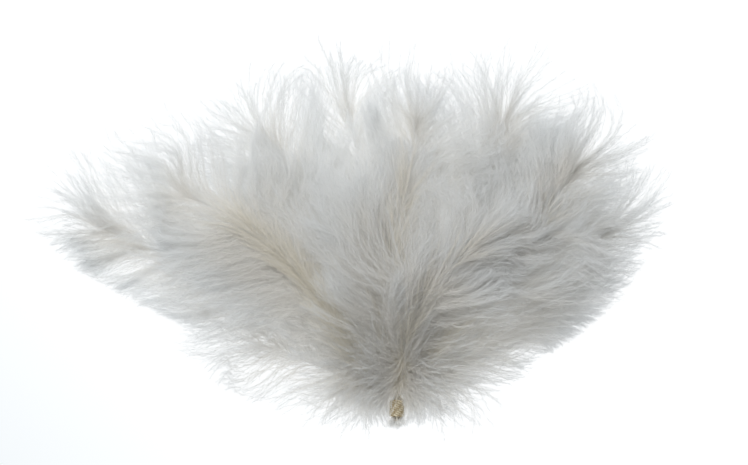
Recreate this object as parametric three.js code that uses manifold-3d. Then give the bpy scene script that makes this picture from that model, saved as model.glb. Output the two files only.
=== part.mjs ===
// A fan of marabou plumes lying on a flat surface, with their quills bound together by thread.
// Millimetres, +Z up. X runs across the fan and Y from the bound quills to the tips.
// Every plume is one closed solid: a bare quill, a flattened downy core along the shaft, and the
// tapered locks of down that grow from both sides of it and from its tip.
// The plumes lie on each other in layers, so each one fills a share of the heap's height.

import * as THREE from "three";
import { mergeVertices } from "three/addons/utils/BufferGeometryUtils.js";
import Module from "manifold-3d";

const wasm = await Module();
wasm.setup();

// The heap that the plumes make, over the surface at z = 0
const LAYERS = 5;
const CROWN_HEIGHT = 34; // at its thickest
const BOUND_SHARE = 0.2; // of the crown's height, where the quills are bound
const CROWN_RADIUS = 46; // from the binding to the thickest part
const RIM_SHARE = 0.62; // of the crown's height, out at the tips
const RIM_START = 62;
const RIM_END = 125;
const LAYER_GAP = 0.9;
const PRESSED_DEPTH = 2.5; // how far the lowest plumes are pressed flat by the surface

// The bundle of quills and its thread
const QUILL_RADIUS = 0.3;
const QUILL_SIDES = 6;
const QUILL_STEPS = 9;
const QUILL_PITCH = 0.88; // side by side
const ROW_PITCH = 0.88; // one row over the next
const BUNDLE_HEIGHT = 2.85;
const WIDEST_SLOT = 1.5; // of the pitch, from the bundle's middle
const QUILL_END = -6.4;
const BINDING_LENGTH = 6;
const BINDING_TOP = 1;
const STRAIGHT_BEFORE = 0.4; // the quills stay straight from before the binding's top
const STRAIGHT_AFTER = 1.2; // until past it
const THREAD_DIAMETER = 0.45;
const THREAD_VALLEY = 0.55; // of the thread's diameter, between two turns
const THREAD_TURNS = 9;
const THREAD_SIDES = 14;
const THREAD_CLEARANCE = 0.66;
const SHAFT_LIFT = 1.2; // of the quill's radius, the least height of a shaft over the surface
const FAN_START = 10; // how far out the quills have spread into their layers

// The down's core along the shaft
const BARE_LENGTH = 16.4; // from the quill's end to where the down begins
const QUILL_IN_CORE = 10; // how far the quill runs on inside it
const CORE_STATIONS = 7;
const CORE_WIDTH = 0.2; // of the locks' reach
const CORE_BLUNTNESS = 0.08; // how far from its point the core begins and ends
const CORE_FULLNESS = 0.7; // the smaller, the more even its width
const CORE_END = 0.985; // of the shaft
const CORE_UNDERSIDE = 0.04; // of the layer's thickness
const CORE_TOP = 0.96;

// The locks of down
const LOCK_STATIONS = 3;
const LOCK_WIDTH = 0.28; // of the lock's length
const LOCK_ROOT = 0.55; // of that width, where it leaves the shaft
const LOCK_SPREAD = 0.9; // how fast it widens from there
const LOOK_AHEAD = 0.02; // of the lock's length, to find which way it points
const ROOT_ANGLE = 64; // between a lock and the shaft, in degrees, at the foot
const TIP_ANGLE = 60; // and near the tip
const FORWARD_SWEEP = 0.34; // how far a lock curves on towards the plume's tip
const TIP_SWEEP = 0.1; // and the lock nearest the tip
const LOCKS_START = 3; // past the down's beginning
const LOCKS_END = 0.97; // of the shaft
const FOOT_LENGTH = 0.4; // of the reach, for the lock nearest the foot
const FOOT_GROWTH = 0.3; // the share of the locks over which they reach full length
const END_LENGTH = 0.62; // of the reach, for the lock nearest the tip
const SHORTENING_START = 0.35; // the share of the locks after which they get shorter
const LENGTH_VARIETY = 0.08;
const LEFT_STAGGER = 0.35; // where the first lock stands, in lock pitches
const RIGHT_STAGGER = 0.6;
const LOCK_UNDERSIDE = 0.06; // of the layer's thickness
const LOCK_TOP = 0.78;
const LOCK_RAISE = 0.08; // how much higher every next lock of three lies
const THINNING = 0.55; // how much a lock thins towards its tip
const TIP_LOCK_LENGTH = 0.52; // of the reach
const TIP_LOCK_ANGLES = [-38, -2, 34];
const END_UNDERSIDE = 0.1; // of the layer's thickness, under tip locks and tufts
const END_TOP = 0.9;
const TUFT_SWEEP = -0.2; // a tuft at the foot curves back instead

// name, layer from the surface up, place in the bundle, locks on each side, how far they reach to
// the left and right, the shaft's plan, and the tufts at the foot: their direction from the
// shaft's in degrees, and their length
const PLUMES = [
  {
    name: "far_left_plume", layer: 0, slot: [-1, -1], locks: 5, left: 34, right: 30,
    shaft: [[-20, 19], [-46, 37], [-75, 50], [-103, 59]], tufts: [[112, 13]],
  },
  {
    name: "mid_left_plume", layer: 0, slot: [0, -1], locks: 4, left: 36, right: 34,
    shaft: [[-5, 32], [-9, 57], [-13, 80], [-16, 101]], tufts: [],
  },
  {
    name: "lower_right_plume", layer: 0, slot: [1, -1], locks: 4, left: 32, right: 19,
    shaft: [[19, 12], [37, 22], [53, 33], [68, 45]], tufts: [[-98, 13], [-66, 17]],
  },
  {
    name: "small_down_plume", layer: 1, slot: [-1.5, 0], locks: 3, left: 33, right: 24,
    shaft: [[-13, 6], [-26, 12], [-38, 17], [-48, 20]], tufts: [[98, 13]],
  },
  {
    name: "upper_left_plume", layer: 1, slot: [-0.5, 0], locks: 4, left: 36, right: 34,
    shaft: [[-10, 26], [-21, 52], [-33, 73], [-44, 91]], tufts: [],
  },
  {
    name: "right_plume", layer: 1, slot: [1.5, 0], locks: 4, left: 40, right: 32,
    shaft: [[17, 17], [35, 33], [54, 47], [73, 59]], tufts: [[-120, 12]],
  },
  {
    name: "left_plume", layer: 2, slot: [-1, 1], locks: 4, left: 36, right: 38,
    shaft: [[-17, 22], [-32, 43], [-52, 60], [-74, 71]], tufts: [[118, 13]],
  },
  {
    name: "upper_right_plume", layer: 2, slot: [0.5, 0], locks: 4, left: 37, right: 34,
    shaft: [[9, 28], [19, 54], [28, 76], [36, 96]], tufts: [],
  },
  {
    name: "centre_plume", layer: 3, slot: [0, 1], locks: 4, left: 34, right: 36,
    shaft: [[-3, 30], [-1, 54], [4, 77], [6, 97]], tufts: [[140, 12]],
  },
  {
    name: "outer_right_plume", layer: 3, slot: [1, 1], locks: 4, left: 34, right: 38,
    shaft: [[13, 18], [29, 40], [47, 61], [62, 82]], tufts: [[-140, 12]],
  },
  {
    name: "front_plume", layer: 4, slot: [0, 2], locks: 4, left: 28, right: 26,
    shaft: [[3, 20], [10, 38], [24, 51], [40, 57]], tufts: [[-112, 13], [122, 13]],
  },
];

// Where two plumes of one layer meet, as a direction from the binding in degrees
const PARTINGS = [
  { layer: 0, azimuth: 119 },
  { layer: 0, azimuth: 64 },
  { layer: 1, azimuth: 134 },
  { layer: 1, azimuth: 78 },
  { layer: 2, azimuth: 99 },
  { layer: 3, azimuth: 74 },
];
const PARTING_WIDTH = 0.8;
const PARTING_START = 8; // from the binding
const PARTING_END = 150;
const CUT_HEIGHT = 120;
const SURFACE_WIDTH = 600;
const SURFACE_DEPTH = 20;

const smooth = (from, to, value) => THREE.MathUtils.smoothstep(value, from, to);

// The heap's height over a point of the plan.
function heapHeight(x, y) {
  const r = Math.hypot(x, y);
  const rise = BOUND_SHARE + (1 - BOUND_SHARE) * smooth(0, CROWN_RADIUS, r);
  const fall = 1 - (1 - RIM_SHARE) * smooth(RIM_START, RIM_END, r);
  return CROWN_HEIGHT * rise * fall;
}

// A height inside a layer: share 0 is its underside and 1 its top.
function heightInLayer(layer, x, y, share) {
  const thickness = heapHeight(x, y) / LAYERS;
  const under = layer * thickness;
  const low = layer === 0 ? under - PRESSED_DEPTH : under;
  const high = under + thickness - LAYER_GAP;
  return THREE.MathUtils.lerp(low, high, share);
}

function toSolid(geometry) {
  const bare = geometry.clone();
  bare.deleteAttribute("normal");
  bare.deleteAttribute("uv");
  const merged = mergeVertices(bare, 1e-4);
  return new wasm.Manifold(
    new wasm.Mesh({
      numProp: 3,
      vertProperties: merged.attributes.position.array,
      triVerts: new Uint32Array(merged.index.array),
    }),
  );
}

function toGeometry(solid) {
  const { vertProperties, triVerts } = solid.getMesh();
  const geometry = new THREE.BufferGeometry();
  geometry.setAttribute("position", new THREE.BufferAttribute(vertProperties, 3));
  geometry.setIndex(new THREE.BufferAttribute(triVerts, 1));
  geometry.computeVertexNormals();
  return geometry;
}

// A closed skin over rings of points, closed at both ends by a fan. A ring of one point is a tip.
function skin(rings) {
  const points = rings.flat();
  const first = [];
  rings.reduce((n, ring) => (first.push(n), n + ring.length), 0);
  const index = [];
  for (let i = 0; i + 1 < rings.length; i++) {
    const a = rings[i].length;
    const b = rings[i + 1].length;
    for (let k = 0; k < Math.max(a, b); k++) {
      const a0 = first[i] + (k % a);
      const a1 = first[i] + ((k + 1) % a);
      const b0 = first[i + 1] + (k % b);
      const b1 = first[i + 1] + ((k + 1) % b);
      if (a > 1) index.push(a0, a1, b0);
      if (b > 1) index.push(a1, b1, b0);
    }
  }
  const last = rings.length - 1;
  for (let k = 1; k + 1 < rings[0].length; k++) index.push(0, k + 1, k);
  for (let k = 1; k + 1 < rings[last].length; k++) {
    index.push(first[last], first[last] + k, first[last] + k + 1);
  }
  const geometry = new THREE.BufferGeometry().setFromPoints(points);
  geometry.setIndex(index);
  return geometry;
}

// The shaft's line: straight through the plume's place in the bundle, then out along its plan at
// mid-layer, and never so low that the surface would cut into the quill.
function shaftCurve({ layer, slot, shaft }) {
  const x = slot[0] * QUILL_PITCH;
  const z = BUNDLE_HEIGHT + slot[1] * ROW_PITCH;
  const bound = [
    QUILL_END,
    (QUILL_END + BINDING_TOP) / 2,
    BINDING_TOP - STRAIGHT_BEFORE,
    BINDING_TOP + STRAIGHT_AFTER,
  ];
  const spread = new THREE.Vector2(...shaft[0]).setLength(FAN_START);
  const free = [[spread.x, spread.y], ...shaft].map(([px, py]) => {
    const mid = heightInLayer(layer, px, py, 0.5);
    return new THREE.Vector3(px, py, Math.max(mid, SHAFT_LIFT * QUILL_RADIUS));
  });
  return new THREE.CatmullRomCurve3(
    [...bound.map((y) => new THREE.Vector3(x, y, z)), ...free],
    false,
    "centripetal",
  );
}

function quillSolid(curve) {
  const round = new THREE.Shape();
  for (let k = 0; k < QUILL_SIDES; k++) {
    const a = (k / QUILL_SIDES) * 2 * Math.PI;
    const corner = [QUILL_RADIUS * Math.cos(a), QUILL_RADIUS * Math.sin(a)];
    if (k === 0) round.moveTo(...corner);
    else round.lineTo(...corner);
  }
  const share = (BARE_LENGTH + QUILL_IN_CORE) / curve.getLength();
  const stations = Array.from({ length: QUILL_STEPS + 1 }, (_, i) => (i / QUILL_STEPS) * share);
  const bare = new THREE.CatmullRomCurve3(stations.map((s) => curve.getPointAt(s)));
  const options = { steps: QUILL_STEPS, bevelEnabled: false, extrudePath: bare };
  return toSolid(new THREE.ExtrudeGeometry(round, options));
}

// Four points round a place in the plan: left, top, right and underside.
function diamond(layer, x, y, across, halfWidth, low, high) {
  const mid = (low + high) / 2;
  const at = (side, share) => {
    const px = x + side * halfWidth * across.x;
    const py = y + side * halfWidth * across.y;
    return new THREE.Vector3(px, py, heightInLayer(layer, px, py, share));
  };
  return [at(-1, mid), at(0, high), at(1, mid), at(0, low)];
}

function coreSolid({ layer, left, right }, curve) {
  const start = BARE_LENGTH / curve.getLength();
  const rings = [];
  for (let i = 0; i <= CORE_STATIONS; i++) {
    const t = i / CORE_STATIONS;
    const s = THREE.MathUtils.lerp(start, CORE_END, t);
    const p = curve.getPointAt(s);
    const along = curve.getTangentAt(s).setZ(0).normalize();
    const across = new THREE.Vector2(along.y, -along.x);
    const place = THREE.MathUtils.lerp(CORE_BLUNTNESS, 1 - CORE_BLUNTNESS, t);
    const swell = Math.sin(Math.PI * place) ** CORE_FULLNESS;
    const halfWidth = CORE_WIDTH * 0.5 * (left + right) * swell;
    rings.push(diamond(layer, p.x, p.y, across, halfWidth, CORE_UNDERSIDE, CORE_TOP));
  }
  return toSolid(skin(rings));
}

// A lock of down: it leaves the shaft at an angle, curves on towards the tip and ends in a point.
function lockSolid(layer, root, direction, forward, length, low, high, bend) {
  const place = (t) => {
    const sweep = bend * length * t * t;
    return new THREE.Vector2(
      root.x + direction.x * length * t + forward.x * sweep,
      root.y + direction.y * length * t + forward.y * sweep,
    );
  };
  const rings = [];
  for (let i = 0; i < LOCK_STATIONS; i++) {
    const t = i / LOCK_STATIONS;
    const p = place(t);
    const ahead = place(t + LOOK_AHEAD).sub(p).normalize();
    const across = new THREE.Vector2(ahead.y, -ahead.x);
    const halfWidth = LOCK_WIDTH * length * (LOCK_ROOT + LOCK_SPREAD * t) * (1 - t ** 3);
    const thin = 0.5 * (high - low) * THINNING * t;
    rings.push(diamond(layer, p.x, p.y, across, halfWidth, low + thin, high - thin));
  }
  const tip = place(1);
  const tipHeight = heightInLayer(layer, tip.x, tip.y, (low + high) / 2);
  rings.push([new THREE.Vector3(tip.x, tip.y, tipHeight)]);
  return toSolid(skin(rings));
}

// How long a lock is, as a share of the reach: shorter near the foot and a little near the tip.
function lengthShare(t) {
  const grown = FOOT_LENGTH + (1 - FOOT_LENGTH) * smooth(0, FOOT_GROWTH, t);
  return grown * THREE.MathUtils.lerp(1, END_LENGTH, smooth(SHORTENING_START, 1, t));
}

function turned(vector, degrees) {
  return vector.clone().rotateAround(new THREE.Vector2(), THREE.MathUtils.degToRad(degrees));
}

function headingAt(curve, s) {
  const tangent = curve.getTangentAt(s);
  return new THREE.Vector2(tangent.x, tangent.y).normalize();
}

function sideLocks(plume, curve, side) {
  const { layer, locks } = plume;
  const reach = side > 0 ? plume.left : plume.right;
  const stagger = side > 0 ? LEFT_STAGGER : RIGHT_STAGGER;
  const start = (BARE_LENGTH + LOCKS_START) / curve.getLength();
  return Array.from({ length: locks }, (_, i) => {
    const t = (i + stagger) / locks;
    const s = THREE.MathUtils.lerp(start, LOCKS_END, t);
    const along = headingAt(curve, s);
    const direction = turned(along, side * THREE.MathUtils.lerp(ROOT_ANGLE, TIP_ANGLE, t));
    const length = reach * lengthShare(t) * (1 + LENGTH_VARIETY * Math.cos(7 * i));
    const raised = LOCK_RAISE * ((i + (side > 0 ? 1 : 0)) % 3);
    const low = LOCK_UNDERSIDE + raised;
    const high = LOCK_TOP + raised;
    const bend = THREE.MathUtils.lerp(FORWARD_SWEEP, TIP_SWEEP, t);
    return lockSolid(layer, curve.getPointAt(s), direction, along, length, low, high, bend);
  });
}

function tipLocks({ layer, left, right }, curve) {
  const end = curve.getPointAt(LOCKS_END);
  const ahead = headingAt(curve, LOCKS_END);
  const length = TIP_LOCK_LENGTH * 0.5 * (left + right);
  return TIP_LOCK_ANGLES.map((spread) => {
    const direction = turned(ahead, spread);
    return lockSolid(layer, end, direction, ahead, length, END_UNDERSIDE, END_TOP, TIP_SWEEP);
  });
}

// Where the down begins, some short locks splay out and back round the binding.
function footTufts({ layer, tufts }, curve) {
  const start = (BARE_LENGTH + LOCKS_START) / curve.getLength();
  const root = curve.getPointAt(start);
  const along = headingAt(curve, start);
  return tufts.map(([angle, length]) => {
    const direction = turned(along, angle);
    return lockSolid(layer, root, direction, along, length, END_UNDERSIDE, END_TOP, TUFT_SWEEP);
  });
}

// A thin upright slice from the binding outwards, where two plumes of one layer meet.
function partingSlice(azimuth) {
  const length = PARTING_END - PARTING_START;
  const slice = new THREE.BoxGeometry(length, PARTING_WIDTH, CUT_HEIGHT);
  slice.translate(PARTING_START + length / 2, 0, 0);
  slice.rotateZ(THREE.MathUtils.degToRad(azimuth));
  return toSolid(slice);
}

// Cuts the underside of what lies on the surface flat at z = 0.
const surfaceBlock = toSolid(
  new THREE.BoxGeometry(SURFACE_WIDTH, SURFACE_WIDTH, SURFACE_DEPTH).translate(
    0,
    0,
    -SURFACE_DEPTH / 2,
  ),
);

function plumeMesh(plume) {
  const curve = shaftCurve(plume);
  const down = [
    coreSolid(plume, curve),
    ...sideLocks(plume, curve, 1),
    ...sideLocks(plume, curve, -1),
    ...tipLocks(plume, curve),
    ...footTufts(plume, curve),
  ];
  const grown = down.reduce((whole, lock) => whole.add(lock), quillSolid(curve));
  const partings = PARTINGS.filter(({ layer }) => layer === plume.layer);
  const rested = partings.reduce(
    (whole, { azimuth }) => whole.subtract(partingSlice(azimuth)),
    grown.subtract(surfaceBlock),
  );
  const largest = rested.decompose().sort((a, b) => b.volume() - a.volume())[0];
  const downWhite = new THREE.MeshStandardMaterial({
    color: new THREE.Color(0.86, 0.86, 0.84),
    roughness: 0.95,
    metalness: 0,
    flatShading: true,
  });
  const mesh = new THREE.Mesh(toGeometry(largest), downWhite);
  mesh.name = plume.name;
  return mesh;
}

// Close turns of thread round the quills: a ring with one ridge for each turn.
function bindingMesh() {
  const inner = WIDEST_SLOT * QUILL_PITCH + QUILL_RADIUS + THREAD_CLEARANCE;
  const ridge = inner + THREAD_DIAMETER;
  const valley = inner + THREAD_VALLEY * THREAD_DIAMETER;
  const pitch = BINDING_LENGTH / THREAD_TURNS;
  const profile = [new THREE.Vector2(inner, 0), new THREE.Vector2(valley, 0)];
  for (let turn = 0; turn < THREAD_TURNS; turn++) {
    profile.push(new THREE.Vector2(ridge, (turn + 0.5) * pitch));
    profile.push(new THREE.Vector2(valley, (turn + 1) * pitch));
  }
  profile.push(new THREE.Vector2(inner, BINDING_LENGTH));
  profile.push(new THREE.Vector2(inner, 0));
  const tanThread = new THREE.MeshStandardMaterial({
    color: new THREE.Color(0.72, 0.64, 0.47),
    roughness: 0.85,
    metalness: 0,
  });
  const mesh = new THREE.Mesh(new THREE.LatheGeometry(profile, THREAD_SIDES), tanThread);
  mesh.name = "binding_thread";
  mesh.position.set(0, BINDING_TOP - BINDING_LENGTH, BUNDLE_HEIGHT);
  return mesh;
}

const bunch = new THREE.Group();
bunch.add(...PLUMES.map(plumeMesh), bindingMesh());

// The origin is under the middle of the bunch, on the surface.
const box = new THREE.Box3().setFromObject(bunch, true);
const middle = box.getCenter(new THREE.Vector3());
const marabou = new THREE.Group();
bunch.position.set(-middle.x, -middle.y, -box.min.z);
marabou.add(bunch);

export default marabou;
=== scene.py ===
"""A fan of white marabou plumes with thread wound round their quills, lying on a bright surface."""

import logging
import math
from dataclasses import dataclass, field
from enum import Enum

import bpy
import numpy as np
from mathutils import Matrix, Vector


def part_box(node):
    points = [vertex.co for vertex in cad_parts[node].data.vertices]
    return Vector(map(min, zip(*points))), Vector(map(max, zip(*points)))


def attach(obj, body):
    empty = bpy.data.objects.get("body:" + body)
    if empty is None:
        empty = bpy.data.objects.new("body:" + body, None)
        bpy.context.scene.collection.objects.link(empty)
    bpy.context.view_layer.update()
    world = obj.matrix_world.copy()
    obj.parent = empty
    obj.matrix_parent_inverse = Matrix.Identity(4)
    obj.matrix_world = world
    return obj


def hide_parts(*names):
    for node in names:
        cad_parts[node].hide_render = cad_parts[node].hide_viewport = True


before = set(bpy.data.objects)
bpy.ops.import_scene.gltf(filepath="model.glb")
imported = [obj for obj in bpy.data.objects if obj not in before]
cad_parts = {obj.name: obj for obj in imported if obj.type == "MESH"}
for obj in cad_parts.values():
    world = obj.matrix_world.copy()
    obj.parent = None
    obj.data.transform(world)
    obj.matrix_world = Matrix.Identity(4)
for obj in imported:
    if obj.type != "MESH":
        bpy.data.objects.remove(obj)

LOG = logging.getLogger("marabou")
MM = 0.001
UP = np.array([0.0, 0.0, 1.0])

Array = np.ndarray


class Tint(Enum):
    """Places across the colour chart, from plain white down to cream down."""

    WHITEST = 0.02
    CREAMIEST = 0.90


# Finishes


@dataclass(frozen=True)
class DownFinish:
    """Matt white down: cream near the shaft, white further out and cooler at the tips."""

    name: str = "white_down"
    cream: tuple[float, float, float] = (0.935, 0.91, 0.825)
    warm: tuple[float, float, float] = (0.935, 0.910, 0.862)
    white: tuple[float, float, float] = (0.932, 0.926, 0.908)
    cool: tuple[float, float, float] = (0.912, 0.926, 0.934)
    through: float = 0.56

    def material(self) -> bpy.types.Material:
        """Makes the down's material, coloured by each strand's place in the colour chart.

        Returns:
            The material, with diffuse and translucent light mixed.
        """
        made = bpy.data.materials.new(self.name)
        made.use_nodes = True
        tree = made.node_tree
        tree.nodes.clear()
        chart = tree.nodes.new("ShaderNodeUVMap")
        chart.uv_map = "OFBake"
        split = tree.nodes.new("ShaderNodeSeparateXYZ")
        tree.links.new(chart.outputs["UV"], split.inputs[0])
        clean = self._ramp(tree, split.outputs["Y"], (
            (0.0, self.warm), (0.30, self.white), (0.60, self.white), (1.0, self.cool)))
        near = self._ramp(tree, split.outputs["Y"], (
            (0.0, (1.0, 1.0, 1.0)), (0.10, (0.85, 0.85, 0.85)), (0.34, (0.0, 0.0, 0.0))))
        share = tree.nodes.new("ShaderNodeMath")
        share.operation = "MULTIPLY"
        tree.links.new(near, share.inputs[0])
        tree.links.new(split.outputs["X"], share.inputs[1])
        both = tree.nodes.new("ShaderNodeMix")
        both.data_type = "RGBA"
        both.inputs["B"].default_value = (*self.cream, 1.0)
        tree.links.new(share.outputs[0], both.inputs["Factor"])
        tree.links.new(clean, both.inputs["A"])
        colour = both.outputs["Result"]
        matt = tree.nodes.new("ShaderNodeBsdfDiffuse")
        matt.inputs["Roughness"].default_value = 0.6
        through = tree.nodes.new("ShaderNodeBsdfTranslucent")
        tree.links.new(colour, matt.inputs["Color"])
        tree.links.new(colour, through.inputs["Color"])
        mixed = tree.nodes.new("ShaderNodeMixShader")
        mixed.inputs["Fac"].default_value = self.through
        tree.links.new(matt.outputs[0], mixed.inputs[1])
        tree.links.new(through.outputs[0], mixed.inputs[2])
        out = tree.nodes.new("ShaderNodeOutputMaterial")
        tree.links.new(mixed.outputs[0], out.inputs["Surface"])
        return made

    @staticmethod
    def _ramp(tree: bpy.types.NodeTree, value: bpy.types.NodeSocket,
              stops: tuple[tuple[float, tuple[float, float, float]], ...]) -> bpy.types.NodeSocket:
        """Adds a colour ramp.

        Args:
            tree: The material's nodes.
            value: The socket that drives the ramp.
            stops: Each stop's place and colour.

        Returns:
            The ramp's colour socket.
        """
        ramp = tree.nodes.new("ShaderNodeValToRGB")
        band = ramp.color_ramp
        while len(band.elements) < len(stops):
            band.elements.new(0.5)
        for element, (place, colour) in zip(band.elements, stops):
            element.position = place
            element.color = (*colour, 1.0)
        tree.links.new(value, ramp.inputs["Fac"])
        return ramp.outputs["Color"]


@dataclass(frozen=True)
class ThreadFinish:
    """Thread of one tan and one cream ply, mottled along its length."""

    name: str = "tan_thread"
    tan: tuple[float, float, float] = (0.40, 0.31, 0.17)
    cream: tuple[float, float, float] = (0.82, 0.76, 0.60)
    roughness: float = 0.85

    def material(self) -> bpy.types.Material:
        """Makes the thread's material, mottled by fine noise.

        Returns:
            The material.
        """
        made = bpy.data.materials.new(self.name)
        made.use_nodes = True
        tree = made.node_tree
        cloth = tree.nodes["Principled BSDF"]
        chart = tree.nodes.new("ShaderNodeUVMap")
        chart.uv_map = "OFBake"
        split = tree.nodes.new("ShaderNodeSeparateXYZ")
        place = tree.nodes.new("ShaderNodeTexCoord")
        noise = tree.nodes.new("ShaderNodeTexNoise")
        noise.inputs["Scale"].default_value = 1400.0
        uneven = tree.nodes.new("ShaderNodeMath")
        uneven.operation = "MULTIPLY_ADD"
        uneven.inputs[1].default_value = 0.9
        ply = tree.nodes.new("ShaderNodeMath")
        ply.operation = "SUBTRACT"
        ply.inputs[1].default_value = 0.45
        tint = tree.nodes.new("ShaderNodeMix")
        tint.data_type = "RGBA"
        tint.inputs["A"].default_value = (*self.tan, 1.0)
        tint.inputs["B"].default_value = (*self.cream, 1.0)
        tree.links.new(chart.outputs["UV"], split.inputs[0])
        tree.links.new(split.outputs["X"], ply.inputs[0])
        tree.links.new(place.outputs["Object"], noise.inputs["Vector"])
        tree.links.new(noise.outputs["Fac"], uneven.inputs[0])
        tree.links.new(ply.outputs[0], uneven.inputs[2])
        tree.links.new(uneven.outputs[0], tint.inputs["Factor"])
        tree.links.new(tint.outputs["Result"], cloth.inputs["Base Color"])
        cloth.inputs["Roughness"].default_value = self.roughness
        return made


@dataclass(frozen=True)
class SurfaceFinish:
    """The bright white surface that the fan lies on: it glows like a light table and lights the fan
    from beneath, dimmer and a little blue towards one corner.
    """

    name: str = "bright_surface"
    white: tuple[float, float, float] = (0.975, 0.99, 1.0)
    blue: tuple[float, float, float] = (0.79, 0.835, 0.865)
    strength: float = 1.08

    def material(self) -> bpy.types.Material:
        """Makes the surface's material.

        Returns:
            The material, which glows, dimmer and bluer towards one corner.
        """
        made = bpy.data.materials.new(self.name)
        made.use_nodes = True
        tree = made.node_tree
        tree.nodes.clear()
        place = tree.nodes.new("ShaderNodeTexCoord")
        split = tree.nodes.new("ShaderNodeSeparateXYZ")
        tree.links.new(place.outputs["Object"], split.inputs[0])
        slope = tree.nodes.new("ShaderNodeMath")
        slope.operation = "ADD"
        tree.links.new(split.outputs["X"], slope.inputs[0])
        tree.links.new(split.outputs["Y"], slope.inputs[1])
        ramp = tree.nodes.new("ShaderNodeMapRange")
        ramp.inputs["From Min"].default_value = -0.10
        ramp.inputs["From Max"].default_value = -0.24
        tree.links.new(slope.outputs[0], ramp.inputs["Value"])
        tint = tree.nodes.new("ShaderNodeMix")
        tint.data_type = "RGBA"
        tint.inputs["A"].default_value = (*self.white, 1.0)
        tint.inputs["B"].default_value = (*self.blue, 1.0)
        tree.links.new(ramp.outputs[0], tint.inputs["Factor"])
        glow = tree.nodes.new("ShaderNodeEmission")
        glow.inputs["Strength"].default_value = self.strength
        tree.links.new(tint.outputs["Result"], glow.inputs["Color"])
        out = tree.nodes.new("ShaderNodeOutputMaterial")
        tree.links.new(glow.outputs[0], out.inputs["Surface"])
        return made


# Form


def smooth(low: float, high: float, value: Array | float) -> Array | float:
    """Eases from 0 at low to 1 at high.

    Args:
        low: Where the rise begins.
        high: Where it ends.
        value: The number or numbers to ease.

    Returns:
        The eased share, of the same shape as value.
    """
    share = np.clip((np.asarray(value, float) - low) / (high - low), 0.0, 1.0)
    return share * share * (3.0 - 2.0 * share)


def unit(vectors: Array) -> Array:
    """Scales vectors to length 1 along their last axis."""
    return vectors / np.maximum(np.linalg.norm(vectors, axis=-1, keepdims=True), 1e-9)


# Corners of the fan's outline, in millimetres to the right of and above the binding.
UNDER_RIGHT_WING = ((0, -8), (15, -2), (44, 13), (68, 31), (81, 46))
RIGHT_TIP_AND_SHOULDER = ((89, 65), (71, 91), (49, 110))
TOP_OF_THE_FAN = ((11, 112), (-15, 117), (-52, 104))
LEFT_SHOULDER_AND_TIP = ((-71, 88), (-100, 78), (-115, 56))
UNDER_LEFT_WING = ((-92, 36), (-66, 24), (-69, 15), (-46, 1), (-28, -6))
FAN_CORNERS = (UNDER_RIGHT_WING + RIGHT_TIP_AND_SHOULDER + TOP_OF_THE_FAN
               + LEFT_SHOULDER_AND_TIP + UNDER_LEFT_WING)


# Pairs of soft tufts at every foot, and more at the upper ones: degrees from the shaft, millimetres.
FOOT_TUFTS = ((24.0, 25.0), (52.0, 21.0), (80.0, 15.0), (112.0, 13.0))
UPPER_FOOT_TUFTS = ((148.0, 14.0),)


def points_on(line: Array, share: Array, wanted: Array) -> Array:
    """Finds points on a line by their share of its length.

    Args:
        line: The line's own points, points by 3.
        share: Their shares of the length.
        wanted: The shares to look up.

    Returns:
        The points, one for each wanted share.
    """
    return np.column_stack([np.interp(wanted, share, line[:, i]) for i in range(3)])


def heading_on(line: Array, share: Array, behind: Array, ahead: Array) -> Array:
    """Gives the way a line runs in plan, in radians, between shares of its length.

    Args:
        line: The line's own points, points by 3.
        share: Their shares of the length.
        behind: Shares where the stretches begin.
        ahead: Shares where they end.

    Returns:
        The headings, one for each stretch.
    """
    way = points_on(line, share, ahead) - points_on(line, share, behind)
    return np.arctan2(way[:, 1], way[:, 0])


def walked(turned: Array, size: Array) -> Array:
    """Follows headings that change on the way.

    Args:
        turned: The heading at each point, strands by points, in radians.
        size: How long each strand is.

    Returns:
        Points in plan from a start at zero, strands by points by 2.
    """
    way = np.stack([np.cos(turned), np.sin(turned)], -1)
    start = np.zeros((len(turned), 1, 2))
    run = np.concatenate([start, 0.5 * (way[:, 1:] + way[:, :-1])], axis=1)
    return size[:, None, None] / (turned.shape[1] - 1) * np.cumsum(run, axis=1)


@dataclass
class Heap:
    """The pile of plumes over the surface, in millimetres from the binding."""

    layers: int = 5
    crown_height: float = 34.0
    bound_share: float = 0.2
    crown_radius: float = 46.0
    rim_share: float = 0.62
    rim_start: float = 62.0
    rim_end: float = 125.0
    layer_gap: float = 0.9
    pressed_depth: float = 2.5
    corners: tuple[tuple[float, float], ...] = FAN_CORNERS

    def rim_at(self, x: Array, y: Array) -> Array:
        """Gives how far the fan reaches from the binding in the direction of points.

        Args:
            x: Distances to the right of the binding.
            y: Distances from the binding towards the tips.

        Returns:
            The reach in each direction.
        """
        right, up = np.array(self.corners, float).T
        turns = np.degrees(np.arctan2(up, right))
        return np.interp(np.degrees(np.arctan2(y, x)), turns, np.hypot(right, up), period=360)

    def height(self, x: Array, y: Array) -> Array:
        """Gives the heap's height over points of the plan.

        Args:
            x: Distances to the right of the binding.
            y: Distances from the binding towards the tips.

        Returns:
            The heights.
        """
        reach = np.hypot(x, y)
        rise = self.bound_share + (1 - self.bound_share) * smooth(0, self.crown_radius, reach)
        fall = 1 - (1 - self.rim_share) * smooth(self.rim_start, self.rim_end, reach)
        return self.crown_height * rise * fall

    def in_layer(self, layer: int, x: Array, y: Array, share: Array | float) -> Array:
        """Gives a height inside a layer.

        Args:
            layer: The layer, counted from the surface up.
            x: Distances to the right of the binding.
            y: Distances from the binding towards the tips.
            share: 0 for the layer's underside and 1 for its top.

        Returns:
            The heights.
        """
        thickness = self.height(x, y) / self.layers
        low = layer * thickness - (self.pressed_depth if layer == 0 else 0.0)
        high = (layer + 1) * thickness - self.layer_gap
        return low + (high - low) * share


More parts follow.
